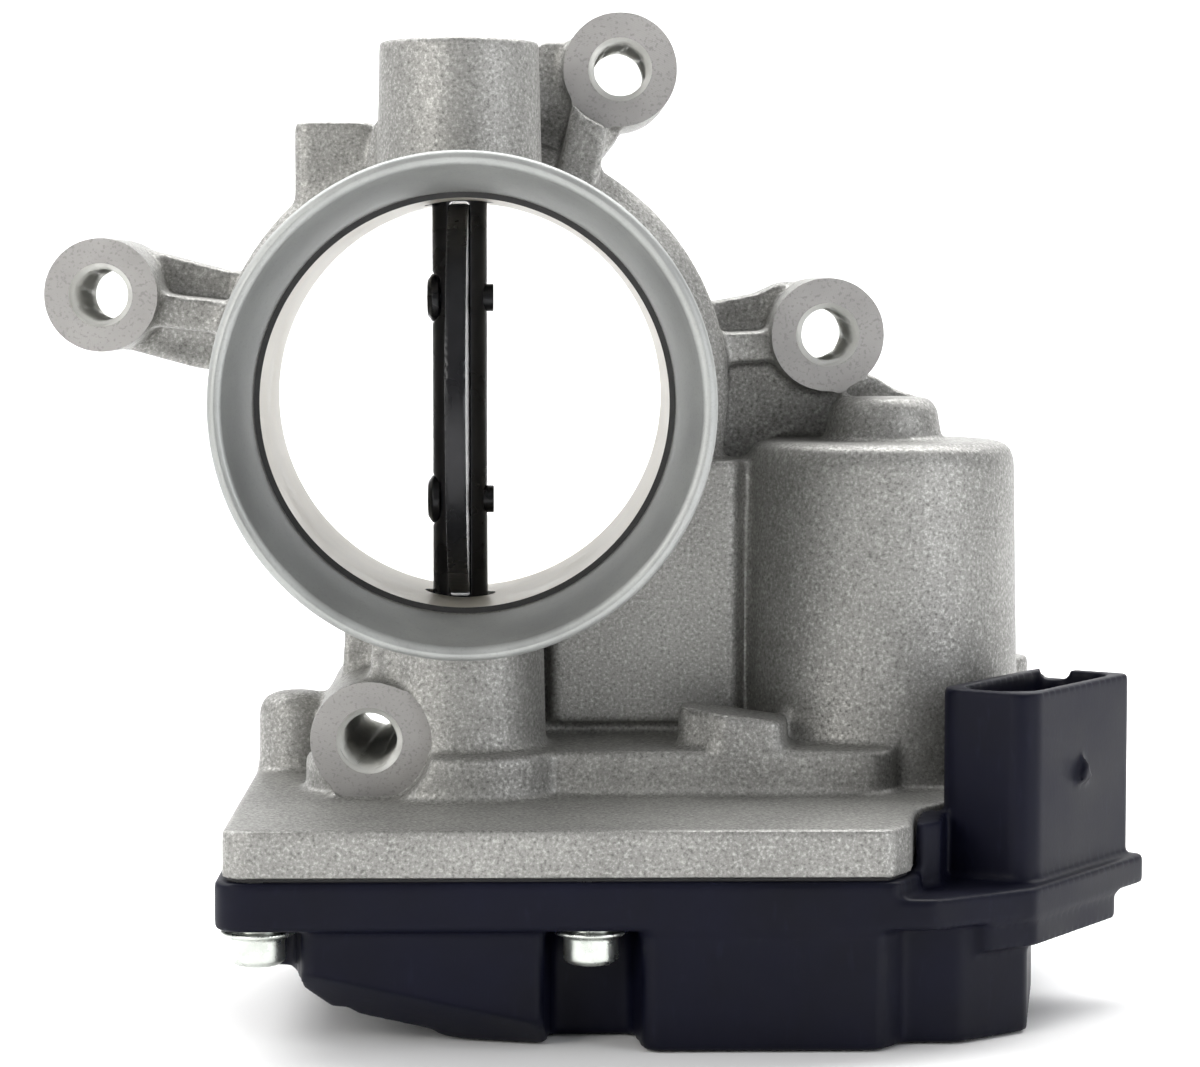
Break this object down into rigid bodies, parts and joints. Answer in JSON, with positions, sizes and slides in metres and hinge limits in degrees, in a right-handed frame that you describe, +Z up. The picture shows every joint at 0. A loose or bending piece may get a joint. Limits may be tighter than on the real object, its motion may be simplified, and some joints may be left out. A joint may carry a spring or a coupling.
{
  "type": "throttle body",
  "caption": "Electronic throttle body with a butterfly plate in a round air bore, tapped lugs, and a geared motor under a black cover with a connector.",
  "frame": {"origin": "centre of the air bore in the rear mounting plane", "axes": "+Y along the bore out of the rear face, +Z up along the throttle shaft towards its upper boss, +X towards the motor"},
  "size_m": [0.1421, 0.0749, 0.1264],
  "materials": {
    "cast_aluminium": "cast, fine grained",
    "black_steel": "satin black",
    "bearing_steel": "ground",
    "seal_rubber": "matt",
    "zinc_steel": "zinc plated",
    "spring_steel": "drawn wire",
    "ferrite": "matt",
    "bronze": "sintered",
    "black_plastic": "glass-filled, fine texture",
    "carbon": "matt",
    "contact_brass": "bright",
    "gold_contact": "gold plated",
    "board_green": "lacquered",
    "natural_plastic": "moulded",
    "lamination_steel": "laminated",
    "copper_wire": "enamelled"
  },
  "bodies": {
    "housing": {"housing": "cast_aluminium", "bearing_outer_races": "bearing_steel", "bearing_balls": "bearing_steel", "shaft_seals": "seal_rubber", "boss_plug": "zinc_steel", "rear_seal": "seal_rubber", "return_spring": "spring_steel", "idler_axle": "bearing_steel", "motor_case": "zinc_steel", "field_magnets": "ferrite", "motor_bushes": "bronze", "brush_plate": "black_plastic", "brushes": "carbon", "motor_terminals": "contact_brass", "motor_screws": "zinc_steel", "wave_washer": "spring_steel", "gearbox_cover": "black_plastic", "cover_gasket": "seal_rubber", "cover_bushes": "zinc_steel", "cover_screws": "zinc_steel", "connector_pins": "gold_contact", "sensor_board": "board_green", "sensor_chip": "black_plastic"},
    "throttle": {"throttle_shaft": "black_steel", "throttle_plate": "black_steel", "plate_screws": "black_steel", "bearing_inner_races": "bearing_steel", "sector_gear": "natural_plastic", "sensor_magnet": "ferrite"},
    "idler": {"idler_gear": "natural_plastic"},
    "rotor": {"motor_shaft": "bearing_steel", "armature_core": "lamination_steel", "armature_windings": "copper_wire", "commutator": "copper_wire", "motor_pinion": "bronze"}
  },
  "joints": [
    {"name": "throttle_turn", "type": "hinge", "parent": "housing", "child": "throttle", "pos_m": [-0.001, -0.038, 0], "axis": [0, 0, 1], "range_deg": [0, 88], "stiffness_Nm_per_rad": 0.03, "deforming": ["return_spring"]},
    {"name": "idler_spin", "type": "hinge", "parent": "housing", "child": "idler", "pos_m": [0.03099, -0.03874, -0.056], "axis": [0, 0, 1], "range_deg": [-320, 5]},
    {"name": "rotor_spin", "type": "hinge", "parent": "housing", "child": "rotor", "pos_m": [0.054, -0.0235, -0.03], "axis": [0, 0, 1], "range_deg": [-5, 1240]}
  ],
  "couplings": [
    {"joint": "idler_spin", "follows": "throttle_turn", "ratio": -3.5714},
    {"joint": "rotor_spin", "follows": "throttle_turn", "ratio": 14.031}
  ]
}
